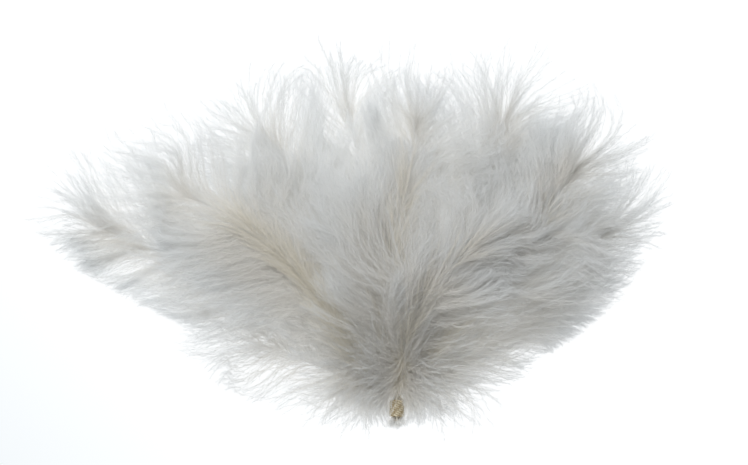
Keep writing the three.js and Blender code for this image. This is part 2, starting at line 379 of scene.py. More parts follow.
@dataclass
class Strands:
    """Flat tapering strands of one plume, gathered before they become one mesh."""

    points: list[Array] = field(default_factory=list)
    quads: list[Array] = field(default_factory=list)
    tips: list[Array] = field(default_factory=list)
    quad_chart: list[Array] = field(default_factory=list)
    tip_chart: list[Array] = field(default_factory=list)
    count: int = 0

    def add_flat(self, lines: Array, width: Array, twist: Array, tint: Array, age: Array) -> None:
        """Adds flat strands that end in a point.

        Args:
            lines: Strand centre lines, strands by points by 3, in millimetres.
            width: Full width at each point, strands by points.
            twist: The way each strand faces, strands by 3.
            tint: Each strand's place across the colour chart.
            age: Each point's place along the colour chart, strands by points.
        """
        n, k, _ = lines.shape
        heading = unit(np.gradient(lines, axis=1))
        across = unit(np.cross(heading, twist[:, None, :]))
        half = 0.5 * width[:, :, None] * across
        sides = np.stack([lines - half, lines + half], axis=2)
        body = sides[:, : k - 1].reshape(n, 2 * (k - 1), 3)
        verts = np.concatenate([body, lines[:, -1:, :]], axis=1)
        stride = 2 * (k - 1) + 1
        first = self.count + np.arange(n)[:, None] * stride
        step = 2 * np.arange(k - 2)[None, :]
        corner = first + step
        quads = np.stack([corner, corner + 1, corner + 3, corner + 2], axis=-1)
        end = first[:, 0] + 2 * (k - 2)
        tips = np.stack([end, end + 1, end + 2], axis=-1)
        left, right = tint - 0.003, tint + 0.003
        low, high = age[:, : k - 2], age[:, 1 : k - 1]
        chart_u = np.broadcast_to(
            np.stack([left, right, right, left], -1)[:, None, :], quads.shape)
        chart_v = np.stack([low, low, high, high], -1)
        tip_u = np.stack([left, right, tint], -1)
        tip_v = np.stack([age[:, k - 2], age[:, k - 2], age[:, k - 1]], -1)
        self.points.append(verts.reshape(-1, 3))
        self.quads.append(quads.reshape(-1, 4))
        self.tips.append(tips)
        self.quad_chart.append(np.stack([chart_u, chart_v], -1).reshape(-1, 2))
        self.tip_chart.append(np.stack([tip_u, tip_v], -1).reshape(-1, 2))
        self.count += n * stride

    def add_slivers(self, root: Array, tip: Array, width: Array, twist: Array, tint: Array,
                    age: Array) -> None:
        """Adds the finest strands, each of them one thin pointed face.

        Args:
            root: Where each strand begins, strands by 3, in millimetres.
            tip: Where it ends.
            width: Its width at the root.
            twist: The way it faces, strands by 3.
            tint: Its place across the colour chart.
            age: Its root's and its tip's place along the colour chart, strands by 2.
        """
        n = len(root)
        half = 0.5 * width[:, None] * unit(np.cross(tip - root, twist))
        verts = np.stack([root - half, root + half, tip], axis=1)
        tips = self.count + np.arange(3 * n).reshape(n, 3)
        tip_u = np.stack([tint - 0.003, tint + 0.003, tint], -1)
        tip_v = np.stack([age[:, 0], age[:, 0], age[:, 1]], -1)
        self.points.append(verts.reshape(-1, 3))
        self.tips.append(tips)
        self.tip_chart.append(np.stack([tip_u, tip_v], -1).reshape(-1, 2))
        self.count += 3 * n

    def add_round(self, line: Array, radius: Array, sides: int, tint: float, age: Array) -> None:
        """Adds one round tapering stalk with closed ends.

        Args:
            line: Its centre line, points by 3, in millimetres.
            radius: Its radius at each point.
            sides: How many flats it has.
            tint: Its place across the colour chart.
            age: Each point's place along the colour chart.
        """
        k = len(line)
        heading = unit(np.gradient(line, axis=0))
        lean = np.where(np.abs(heading[:, 2:3]) > 0.9, np.array([[1.0, 0, 0]]), UP[None, :])
        across = unit(np.cross(heading, lean))
        over = np.cross(across, heading)
        turn = np.linspace(0, 2 * np.pi, sides, endpoint=False)
        ring = (np.cos(turn)[None, :, None] * across[:, None, :]
                + np.sin(turn)[None, :, None] * over[:, None, :])
        verts = line[:, None, :] + radius[:, None, None] * ring
        here = self.count + np.arange(k - 1)[:, None] * sides
        a = here + np.arange(sides)[None, :]
        b = here + (np.arange(sides)[None, :] + 1) % sides
        quads = np.stack([a, b, b + sides, a + sides], -1)
        u = tint + 0.01 * (np.arange(sides + 1) / sides - 0.5)
        chart_u = np.stack([u[:-1], u[1:], u[1:], u[:-1]], -1)
        chart_u = np.broadcast_to(chart_u[None], quads.shape)
        low, high = age[:-1, None], age[1:, None]
        chart_v = np.broadcast_to(np.stack([low, low, high, high], -1), quads.shape)
        self.points.append(verts.reshape(-1, 3))
        self.quads.append(quads.reshape(-1, 4))
        self.quad_chart.append(np.stack([chart_u, chart_v], -1).reshape(-1, 2))
        self.count += k * sides

    def to_object(self, name: str, finish: bpy.types.Material, shift: Array) -> bpy.types.Object:
        """Makes one mesh object of all the strands.

        Args:
            name: The object's name.
            finish: Its material.
            shift: Where the binding is in the row's frame, in millimetres.

        Returns:
            The object, linked to the scene.
        """
        verts = (np.concatenate(self.points) + shift) * MM
        quads = np.concatenate(self.quads)
        tips = np.concatenate(self.tips) if self.tips else np.zeros((0, 3), int)
        corners = np.concatenate([quads.ravel(), tips.ravel()])
        starts = np.concatenate([
            np.arange(len(quads)) * 4, 4 * len(quads) + np.arange(len(tips)) * 3])
        chart = np.concatenate([*self.quad_chart, *self.tip_chart])
        mesh = bpy.data.meshes.new(name)
        mesh.vertices.add(len(verts))
        mesh.vertices.foreach_set("co", verts.astype(np.float32).ravel())
        mesh.loops.add(len(corners))
        mesh.loops.foreach_set("vertex_index", corners.astype(np.int32))
        mesh.polygons.add(len(starts))
        mesh.polygons.foreach_set("loop_start", starts.astype(np.int32))
        mesh.update(calc_edges=True)
        layer = mesh.uv_layers.new(name="OFBake")
        layer.data.foreach_set("uv", chart.astype(np.float32).ravel())
        mesh.materials.append(finish)
        made = bpy.data.objects.new(name, mesh)
        bpy.context.scene.collection.objects.link(made)
        LOG.info("%s: %d triangles", name, 2 * len(quads) + len(tips))
        return made


@dataclass
class Bundle:
    """The quills where the thread holds them, in millimetres from the binding."""

    quill_radius: float = 0.3
    pitch: float = 0.88
    row_pitch: float = 0.88
    height: float = 2.85
    quill_end: float = -6.4
    length: float = 6.0
    ring_radius: float = 2.75
    top: float = 1.0
    fan_start: float = 10.0
    bare_length: float = 16.4
    locks_start: float = 3.0


@dataclass
class Plume:
    """One marabou plume: a shaft with soft barbs, each of them fringed with finer barbules."""

    name: str
    layer: int
    slot: tuple[float, float]
    left: float
    right: float
    shaft: tuple[tuple[float, float], ...]
    tufts: tuple[tuple[float, float], ...] = ()
    seed: int = 1
    barbs: int = 680
    barbules: int = 92
    barbule_width: float = 0.085
    tuft_barbs: int = 22
    warmth: float = 0.0
    cover: float = 0.3
    sag: float = 0.15
    lift: float = 0.15
    sway: float = 5.0
    band: int = 0
    band_width: float = 6.5
    locks: tuple[tuple[float, float, float, float], ...] = ()
    lock_barbs: int = 34
    wisps: int = 14
    heap: Heap = field(default_factory=Heap)
    bundle: Bundle = field(default_factory=Bundle)
    root_angle: float = 64.0
    tip_angle: float = 60.0
    forward_sweep: float = 0.34
    tip_sweep: float = 0.1
    foot_length: float = 0.4
    foot_growth: float = 0.3
    end_length: float = 0.62
    tip_length: float = 0.6
    fan_angle: float = 62.0
    shut: float = 0.45
    foot_edge: float = -6.5
    rim_reach: float = 1.12
    rim_fray: float = 0.17
    least_kept: float = 0.12
    last_root: float = 0.955
    turn_spread: float = 8.0
    cover_end: float = 0.72
    band_end: float = 0.76
    flow: float = 0.4
    clump_pitch: float = 4.2

    def shaft_line(self) -> tuple[Array, Array, float]:
        """Traces the shaft through the bundle and out along its plan.

        Returns:
            Evenly spaced points, their distances as shares of the length, and the length.
        """
        b = self.bundle
        x = self.slot[0] * b.pitch
        z = b.height + self.slot[1] * b.row_pitch
        bound = [(x, y, z) for y in (
            b.quill_end, (b.quill_end + b.top) / 2, b.top - 0.4, b.top + 1.2)]
        plan = np.array(self.shaft, float)
        spread = plan[0] / np.linalg.norm(plan[0]) * b.fan_start
        plan = np.vstack([spread, plan])
        mid = np.maximum(self.heap.in_layer(self.layer, plan[:, 0], plan[:, 1], 0.5),
                         1.2 * b.quill_radius)
        stops = np.vstack([np.array(bound), np.column_stack([plan, mid])])
        dense = self._through(stops)
        run = np.concatenate([[0], np.cumsum(np.linalg.norm(np.diff(dense, axis=0), axis=1))])
        share = np.linspace(0, 1, 500)
        even = np.column_stack([np.interp(share * run[-1], run, dense[:, i]) for i in range(3)])
        return even, share, float(run[-1])

    @staticmethod
    def _through(stops: Array) -> Array:
        """Runs a centripetal spline through points.

        Args:
            stops: The points, in order.

        Returns:
            Dense points on the curve.
        """
        ends = np.vstack([2 * stops[0] - stops[1], stops, 2 * stops[-1] - stops[-2]])
        w = np.linspace(0, 1, 40)[:, None]
        made = []
        for i in range(len(stops) - 1):
            p0, p1, p2, p3 = ends[i : i + 4]
            d0, d1, d2 = (np.sqrt(np.linalg.norm(b - a)) for a, b in ((p0, p1), (p1, p2), (p2, p3)))
            t1 = ((p1 - p0) / d0 - (p2 - p0) / (d0 + d1) + (p2 - p1) / d1) * d1
            t2 = ((p2 - p1) / d1 - (p3 - p1) / (d1 + d2) + (p3 - p2) / d2) * d1
            c2, c3 = -3 * p1 + 3 * p2 - 2 * t1 - t2, 2 * p1 - 2 * p2 + t1 + t2
            made.append(p1 + t1 * w + c2 * w**2 + c3 * w**3)
        return np.vstack(made)

    def _length_share(self, t: Array) -> Array:
        """How long the barbs are, as a share of the reach, from the foot at 0 to the tip at 1."""
        grown = self.foot_length + (1 - self.foot_length) * smooth(0, self.foot_growth, t)
        return grown * (1 + (self.end_length - 1) * smooth(0.35, 1, t))

    def _barb_lines(self, rng: np.random.Generator, steps: int) -> tuple[Array, Array, Array]:
        """Combs the barbs into clumps that taper to points.

        Args:
            rng: The plume's own source of chance.
            steps: Points along each barb.

        Returns:
            Barb lines in millimetres, each barb's place from foot to tip, and its length.
        """
        line, share, length = self.shaft_line()
        start = (self.bundle.bare_length + self.bundle.locks_start * 0.3) / length
        clumps = max(6, int(length * (1 - start) / self.clump_pitch))
        n = self.barbs
        side = np.where(np.arange(n) % 2 == 0, 1, -1)
        t = np.sort(rng.random(n)) ** 0.8
        clump = np.minimum((t * clumps + rng.normal(0, 0.18, n)).astype(int), clumps - 1)
        clump = np.maximum(clump, 0)
        row = (side < 0).astype(int)
        centre = (clump + 0.5) / clumps
        turn_of = rng.normal(0, self.turn_spread, (clumps, 2))
        grow_of = rng.uniform(0.86, 1.1, (clumps, 2))
        curl_of = rng.normal(0, 1.5, (clumps, 2))
        rise_of = rng.uniform(0.0, 1.0, (clumps, 2))
        own = rng.random(n)
        s_root = start + (self.last_root - start) * t
        s_mid = start + (self.last_root - start) * centre
        root = points_on(line, share, s_root)[:, :2]
        middle = points_on(line, share, s_mid)[:, :2]
        heading = heading_on(line, share, s_mid - 0.01, s_mid + 0.01)
        angle = self.root_angle + (self.tip_angle - self.root_angle) * t
        angle = angle + turn_of[clump, row] + rng.normal(0, self.turn_spread, n)
        fanned = smooth(0.7, 0.95, t)
        angle = angle * (1 - fanned) + fanned * self.fan_angle * rng.random(n) ** 1.3
        over = rng.random((clumps, 2)) < self.cover
        covers = over[clump, row] & (rng.random(n) < 0.8) | (rng.random(n) < 0.4 * self.cover)
        covers &= t < self.cover_end
        angle = np.where(covers, angle * rng.uniform(-0.55, 0.7, n), angle)
        away = heading + side * np.radians(angle)
        reach = np.where(side > 0, self.left, self.right)
        share_of = self._length_share(t) * (1 - fanned) + self.tip_length * fanned
        size = reach * share_of * grow_of[clump, row] * (0.84 + 0.46 * own**0.7)
        size = np.where(covers, size * (1.05 - 0.55 * t), size)
        tau = np.linspace(0, 1, steps)[None, :]
        opening = np.where(covers, 1.0, self.shut + (1 - self.shut) * rng.random(n) ** 2)
        turned = heading[:, None] + (away - heading)[:, None] * (
            opening[:, None] + (1 - opening[:, None]) * smooth(0, 0.4, tau))
        out = walked(turned, size)
        bend = self.forward_sweep + (self.tip_sweep - self.forward_sweep) * t
        sweep = (bend * size)[:, None] * tau**2
        on = np.stack([np.cos(heading), np.sin(heading)], -1)[:, None, :]
        sidelong = np.stack([-np.sin(away), np.cos(away)], -1)[:, None, :]
        wave = (curl_of[clump, row][:, None] * np.sin(2.6 * tau + 0.6) * tau * 2.2
                + rng.normal(0, 0.5, n)[:, None] * np.sin(
                    rng.uniform(3, 7, n)[:, None] * tau + rng.uniform(0, 6, n)[:, None]) * tau)
        gather = 1 - rng.uniform(-0.1, 0.5, n)[:, None] * tau**1.3
        plan = (middle[:, None, :] + (root - middle)[:, None, :] * gather[..., None]
                + out + sweep[..., None] * on + wave[..., None] * sidelong)
        plan = self._combed(plan, tau * (1 - 0.8 * fanned)[:, None])
        plan = plan + self._sway_of(rng, plan) * (tau**1.6)[..., None]
        raised = self._raised(rng, plan, tau, rise_of[clump, row], covers)
        barbs, kept = self._trimmed(rng, raised)
        return barbs, t, size * kept

    def _raised(self, rng: np.random.Generator, plan: Array, tau: Array, clump_rise: Array,
                covers: Array) -> Array:
        """Gives the barbs their heights within the plume's layer.

        Args:
            rng: The plume's own source of chance.
            plan: Points of the plan, barbs by points by 2.
            tau: Each point's place along its barb.
            clump_rise: How high each barb's clump lies, from 0 to 1.
            covers: Which barbs lie over the others.

        Returns:
            Barb lines in millimetres, above the surface.
        """
        n = len(plan)
        high = np.clip(
            0.65 * clump_rise + 0.35 * rng.random(n) + rng.normal(0, 0.08, n), 0, 1)
        high = np.where(covers, 0.75 + 0.35 * high, high)
        goal = -self.sag + (1 + self.sag + self.lift) * high
        rise = np.where(covers[:, None], smooth(0, 0.25, tau), smooth(0, 0.75, tau))
        height_share = 0.5 + (goal - 0.5)[:, None] * rise
        x, y = plan[..., 0], plan[..., 1]
        y = np.where(y < self.foot_edge, self.foot_edge + 0.3 * (y - self.foot_edge), y)
        z = self.heap.in_layer(self.layer, x, y, height_share)
        z = z + rng.normal(0, 0.35, n)[:, None] * np.sin(5 * tau) * tau
        floor = 0.08 + 0.5 * rng.random(n)[:, None] * tau
        return np.stack([x, y, np.maximum(z, floor)], -1)

    def _trimmed(self, rng: np.random.Generator, barbs: Array) -> tuple[Array, Array]:
        """Ends each barb before it would leave the fan's outline.

        Args:
            rng: The plume's own source of chance.
            barbs: Barb lines, barbs by points by 3.

        Returns:
            The barb lines with as many points as before, and the share of each that is kept.
        """
        n, k, _ = barbs.shape
        x, y = barbs[..., 0], barbs[..., 1]
        fray = self.rim_reach - self.rim_fray * rng.random(n)[:, None]
        edge = self.heap.rim_at(x, y) * fray
        beyond = np.maximum.accumulate(np.hypot(x, y) / edge, axis=1)
        row = np.arange(n)
        last = np.clip((beyond <= 1).sum(axis=1), 1, k - 1)
        before, after = beyond[row, last - 1], beyond[row, last]
        part = np.clip((1 - before) / np.maximum(after - before, 1e-6), 0, 1)
        kept = np.where(beyond[:, -1] > 1, (last - 1 + part) / (k - 1), 1.0)
        kept = np.maximum(kept, self.least_kept)
        where = kept[:, None] * np.arange(k)[None, :]
        low = np.minimum(where.astype(int), k - 2)
        share = (where - low)[..., None]
        side = row[:, None]
        return barbs[side, low] * (1 - share) + barbs[side, low + 1] * share, kept

    def _combed(self, plan: Array, tau: Array) -> Array:
        """Turns the outer part of each barb outwards, away from the binding.

        Args:
            plan: Points of the plan, barbs by points by 2.
            tau: Each point's place along its barb.

        Returns:
            The points, with each barb as long as before.
        """
        steps = np.diff(plan, axis=1)
        long = np.linalg.norm(steps, axis=-1, keepdims=True)
        outwards = unit(0.5 * (plan[:, 1:] + plan[:, :-1]) - np.array([0.0, -12.0]))
        pull = (self.flow * tau[:, 1:] ** 1.5)[..., None]
        way = unit((1 - pull) * steps / np.maximum(long, 1e-9) + pull * outwards)
        moved = np.cumsum(way * long, axis=1)
        return np.concatenate([plan[:, :1], plan[:, :1] + moved], axis=1)

    def _sway_of(self, rng: np.random.Generator, plan: Array) -> Array:
        """Bends neighbouring barbs the same way, in slow waves over the plan.

        Args:
            rng: The plume's own source of chance.
            plan: Points of the plan.

        Returns:
            How far each point is carried sideways, in millimetres.
        """
        moved = np.zeros_like(plan)
        for _ in range(6):
            way = rng.uniform(0, 2 * np.pi)
            wave = 2 * np.pi / rng.uniform(24, 70)
            phase = rng.uniform(0, 2 * np.pi)
            along = plan[..., 0] * np.cos(way) + plan[..., 1] * np.sin(way)
            push = rng.uniform(0, 2 * np.pi)
            swing = np.sin(wave * along + phase)[..., None]
            moved = moved + swing * np.array([np.cos(push), np.sin(push)])
        return self.sway / np.sqrt(6) * moved

    def _tuft_lines(self, rng: np.random.Generator, steps: int) -> tuple[Array, Array, Array]:
        """Splays the soft barbs of the foot forwards, sideways and back round the binding.

        Args:
            rng: The plume's own source of chance.
            steps: Points along each barb.

        Returns:
            Barb lines in millimetres, each barb's place from foot to tip, and its length.
        """
        line, share, length = self.shaft_line()
        upper = self.layer > 2
        pairs = FOOT_TUFTS + (UPPER_FOOT_TUFTS if upper else ())
        ways = [*self.tufts, *((side * turn, size) for turn, size in pairs for side in (1, -1))]
        each = self.tuft_barbs
        n = each * len(ways)
        turn = np.repeat([w[0] for w in ways], each) + rng.normal(0, 19, n)
        size = np.repeat([w[1] for w in ways], each) * rng.uniform(0.65, 1.2, n)
        s = (self.bundle.bare_length - 4.0 + 17.0 * rng.random(n) ** 1.6) / length
        root = points_on(line, share, s)
        heading = heading_on(line, share, s, s + 0.02)
        away = heading + np.radians(turn)
        lowest = self.foot_edge - 2.5 * rng.random(n)
        drop = np.maximum(-size * np.sin(away), 1e-3)
        size = size * np.clip((root[:, 1] - lowest) / drop, 0.2, 1)
        tau = np.linspace(0, 1, steps)[None, :]
        bend = rng.normal(0, 0.25, n)[:, None] * tau
        x = root[:, :1] + size[:, None] * tau * np.cos(away[:, None] + bend)
        y = root[:, 1:2] + size[:, None] * tau * np.sin(away[:, None] + bend)
        ring = self.bundle.ring_radius
        crossing = upper & (rng.random(n) < 0.2)
        goal = rng.uniform(-0.6, 1.1, n)[:, None]
        settled = self.heap.in_layer(self.layer, x, y, 0.5 + (goal - 0.5) * tau)
        z = root[:, 2:] + (settled - root[:, 2:]) * smooth(0, 0.6, tau)
        beside = smooth(4.0, 1.6, y) * smooth(-6.8, -4.8, y)
        half = np.sqrt(np.maximum((ring + 0.1) ** 2 - (z - self.bundle.height) ** 2, 0))
        clear = np.maximum(half, 2.2) + 0.3 * rng.random(n)[:, None]
        clear = np.where(crossing[:, None], 0.0, clear)
        x = np.where(x < 0, -1.0, 1.0) * np.sqrt(x**2 + (clear * beside) ** 2)
        over = smooth(4.0, 1.8, y) * smooth(-8.0, -6.0, y) * (np.abs(x) < half)
        top = self.bundle.height + ring + 0.3 + 0.6 * rng.random(n)[:, None]
        z = np.maximum(np.maximum(z, 0.08), top * over)
        return np.stack([x, y, z], -1), np.zeros(n), size

    def _end_wisps(self, rng: np.random.Generator, steps: int) -> tuple[Array, Array, Array]:
        """Frays the end of the quill into a few short wisps.

        Args:
            rng: The plume's own source of chance.
            steps: Points along each wisp.

        Returns:
            Wisp lines in millimetres, each wisp's place from foot to tip, and its length.
        """
        line, _, _ = self.shaft_line()
        n = self.wisps
        root = line[rng.integers(0, 8, n)]
        away = np.radians(rng.normal(-90, 42, n))
        size = rng.uniform(0.8, 3.0, n)
        tau = np.linspace(0, 1, steps)[None, :]
        x = root[:, :1] + size[:, None] * tau * np.cos(away)[:, None]
        y = root[:, 1:2] + size[:, None] * tau * np.sin(away)[:, None]
        z = root[:, 2:] + rng.normal(0, 1.0, n)[:, None] * tau
        return np.stack([x, y, np.maximum(z, 0.08)], -1), np.full(n, 0.4), size

    def _band_lines(self, rng: np.random.Generator, steps: int) -> tuple[Array, Array, Array]:
        """Lays the short smooth cream barbs that lie close along the shaft.

        Args:
            rng: The plume's own source of chance.
            steps: Points along each barb.

        Returns:
            Barb lines in millimetres, each barb's place from foot to tip, and its length.
        """
        line, share, length = self.shaft_line()
        n = self.band
        start = self.bundle.bare_length / length
        t = self.band_end * rng.random(n) ** 0.8
        s = start + (0.985 - start) * t
        root = points_on(line, share, s)
        heading = heading_on(line, share, s, s + 0.01)
        size = rng.uniform(13, 22, n) * (1 - 0.3 * t)
        tau = np.linspace(0, 1, steps)[None, :]
        drift = rng.uniform(-self.band_width, self.band_width, n)
        aside = drift[:, None] * (0.5 * smooth(0, 0.35, tau) + 0.9 * tau**2)
        along = size[:, None] * tau
        x = root[:, :1] + along * np.cos(heading)[:, None] - aside * np.sin(heading)[:, None]
        y = root[:, 1:2] + along * np.sin(heading)[:, None] + aside * np.cos(heading)[:, None]
        goal = rng.uniform(0.95, 1.5, n)[:, None]
        z = self.heap.in_layer(self.layer, x, y, 0.5 + (goal - 0.5) * smooth(0, 0.25, tau))
        return np.stack([x, y, z], -1), smooth(0.35, 1.1, t), size

    def _lock_lines(self, rng: np.random.Generator, steps: int) -> tuple[Array, Array, Array]:
        """Lays the loose locks that sweep over the plume in a curve and end in a point.

        Args:
            rng: The plume's own source of chance.
            steps: Points along each barb.

        Returns:
            Barb lines in millimetres, each barb's place from foot to tip, and its length.
        """
        line, share, _ = self.shaft_line()
        each = self.lock_barbs
        made = np.repeat(np.array(self.locks, float), each, axis=0)
        n = len(made)
        s = made[:, 0] + rng.normal(0, 0.02, n)
        root = points_on(line, share, s)
        centre = made[:, 0]
        heading = heading_on(line, share, centre - 0.02, centre + 0.02) + np.radians(made[:, 1])
        size = made[:, 2] * rng.uniform(0.7, 1.08, n)
        tau = np.linspace(0, 1, steps)[None, :]
        turned = heading[:, None] + np.radians(made[:, 3] + rng.normal(0, 9, n))[:, None] * tau
        turned = turned + rng.normal(0, 0.1, n)[:, None]
        plan = root[:, None, :2] + walked(turned, size)
        x, y = plan[..., 0], plan[..., 1]
        goal = rng.uniform(0.95, 1.4, n)[:, None]
        z = self.heap.in_layer(self.layer, x, y, 0.5 + (goal - 0.5) * smooth(0, 0.3, tau))
        barbs, kept = self._trimmed(rng, np.stack([x, y, z], -1))
        return barbs, np.full(n, 0.5), size * kept

    def _fringe(self, rng: np.random.Generator, barbs: Array, place: Array, size: Array,
                strands: Strands, reach: float, extra: float) -> None:
        """Grows the barbules along the barbs.

        Args:
            rng: The plume's own source of chance.
            barbs: Barb lines, barbs by points by 3.
            place: Each barb's place from foot to tip.
            size: Each barb's length.
            strands: Where the barbules are gathered.
            reach: How far along the colour chart the barbs' tips come.
            extra: How much warmer these are than the plume's other strands.
        """
        n, k, _ = barbs.shape
        each = int(self.barbules * np.clip(size.mean() / 26.0, 0.12, 1.0))
        tau = (np.arange(each)[None, :] + rng.random((n, each))) / each
        tau = 0.03 + 0.95 * tau**0.75
        where = tau * (k - 1)
        low = np.minimum(where.astype(int), k - 2)
        part = (where - low)[..., None]
        row = np.arange(n)[:, None]
        a, b = barbs[row, low], barbs[row, low + 1]
        root = a + (b - a) * part
        along = unit(b - a)
        flat = unit(np.cross(along, UP))
        over = np.cross(flat, along)
        spin = rng.uniform(0, 2 * np.pi, (n, each, 1))
        out = np.cos(spin) * flat + 0.8 * np.sin(spin) * over
        lean = np.radians(rng.uniform(8, 42, (n, each, 1)))
        length = rng.uniform(2.6, 6.6, (n, each)) * (1 - 0.4 * tau) * np.clip(
            size[:, None] / 26.0, 0.5, 1.1)
        tip = root + length[..., None] * (np.cos(lean) * along + np.sin(lean) * out)
        tip[..., 2] = np.maximum(tip[..., 2], 0.06)
        count = n * each
        width = self.barbule_width * rng.uniform(0.7, 1.3, count)
        twist = unit(UP + rng.normal(0, 0.55, (count, 3)))
        tint = self._tint(rng, np.repeat(place, each), count, extra)
        begun = 0.5 * np.repeat(place, each)
        along_barb = begun + (1 - begun) * tau.reshape(count)
        age = reach * np.clip(along_barb[:, None] + np.array([0.0, 0.12]), 0, 0.999)
        strands.add_slivers(root.reshape(-1, 3), tip.reshape(-1, 3), width, twist, tint, age)

    def _tint(self, rng: np.random.Generator, place: Array, count: int, extra: float) -> Array:
        """Picks each strand's tint: warmer at the foot, cooler at the tip.

        Args:
            rng: The plume's own source of chance.
            place: Each strand's place from foot to tip.
            count: How many strands there are.
            extra: How much warmer they are than the plume's other strands.

        Returns:
            Places across the colour chart.
        """
        low, high = Tint.WHITEST.value, Tint.CREAMIEST.value
        mix = 0.42 - 0.42 * place + self.warmth + extra + rng.normal(0, 0.13, count)
        mix = np.clip(mix, 0, 1)
        return low + (high - low) * mix

    def _grow(self, rng: np.random.Generator, strands: Strands, barbs: Array, place: Array,
              size: Array, reach: float = 1.0, extra: float = 0.0) -> None:
        """Turns barb lines into barbs with their fringe.

        Args:
            rng: The plume's own source of chance.
            strands: Where the strands are gathered.
            barbs: Barb lines, barbs by points by 3.
            place: Each barb's place from foot to tip.
            size: Each barb's length.
            reach: How far along the colour chart the barbs' tips come.
            extra: How much warmer these are than the plume's other strands.
        """
        n, steps, _ = barbs.shape
        thin = np.linspace(1, 0, steps) ** 0.7
        width = 0.12 * thin[None, :] * rng.uniform(0.75, 1.25, (n, 1))
        twist = unit(UP + rng.normal(0, 0.45, (n, 3)))
        begun = 0.5 * place[:, None]
        age = reach * (begun + (0.999 - begun) * np.linspace(0, 1, steps)[None, :])
        strands.add_flat(barbs, width, twist, self._tint(rng, place, n, extra), age)
        self._fringe(rng, barbs, place, size, strands, reach, extra)

    def build(self, finish: bpy.types.Material, shift: Array) -> bpy.types.Object:
        """Makes the plume and puts it in place of its solid.

        Args:
            finish: The down's material.
            shift: Where the binding is in the row's frame, in millimetres.

        Returns:
            The plume's object.
        """
        rng = np.random.default_rng(self.seed)
        strands = Strands()
        line, share, _ = self.shaft_line()
        pick = np.linspace(0, 0.985 * (len(line) - 1), 46).astype(int)
        stalk = line[pick]
        radius = self.bundle.quill_radius * (1.0 - 0.82 * share[pick] ** 0.8)
        tint = 0.3 + self.warmth
        strands.add_round(stalk, radius, 6, tint, 0.02 + 0.5 * share[pick])
        self._grow(rng, strands, *self._barb_lines(rng, 8))
        self._grow(rng, strands, *self._tuft_lines(rng, 5))
        if self.band:
            self._grow(rng, strands, *self._band_lines(rng, 6), reach=0.3, extra=0.1)
        if self.locks:
            self._grow(rng, strands, *self._lock_lines(rng, 8))
        self._grow(rng, strands, *self._end_wisps(rng, 4))
        made = strands.to_object(self.name.replace("_plume", "_down"), finish, shift)
        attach(made, "root")
        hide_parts(self.name)
        return made


@dataclass
class ThreadBinding:
    """Two-ply thread wound round the quills in close turns."""

    bundle: Bundle = field(default_factory=Bundle)
    turns: int = 9
    coil_radius: float = 2.15
    ply_radius: float = 0.3
    twists_a_turn: float = 5.2

    def _ply(self, phase: float) -> Array:
        """Traces one ply round the bundle.

        Args:
            phase: Where in the thread's twist the ply starts.

        Returns:
            Points along the ply, in millimetres.
        """
        b = self.bundle
        turn = np.linspace(0, 2 * np.pi * self.turns, self.turns * 48)
        y = b.top - b.length + 0.35 + (b.length - 0.7) * turn / turn[-1]
        twist = self.twists_a_turn * turn + phase
        radius = self.coil_radius + self.ply_radius * 0.85 * np.cos(twist)
        return np.column_stack([
            radius * np.cos(turn), y + self.ply_radius * 0.85 * np.sin(twist),
            b.height + radius * np.sin(turn)])

    def build(self, finish: bpy.types.Material, shift: Array) -> bpy.types.Object:
        """Winds the thread in place of its solid ring.

        Args:
            finish: The thread's material.
            shift: Where the binding is in the row's frame, in millimetres.

        Returns:
            The thread's object.
        """
        strands = Strands()
        for phase, tint in ((0.0, 0.2), (math.pi, 0.8)):
            ply = self._ply(phase)
            radius = np.full(len(ply), self.ply_radius)
            strands.add_round(ply, radius, 6, tint, np.linspace(0.02, 0.98, len(ply)))
        made = strands.to_object("wound_thread", finish, shift)
        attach(made, "root")
        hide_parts("binding_thread")
        return made


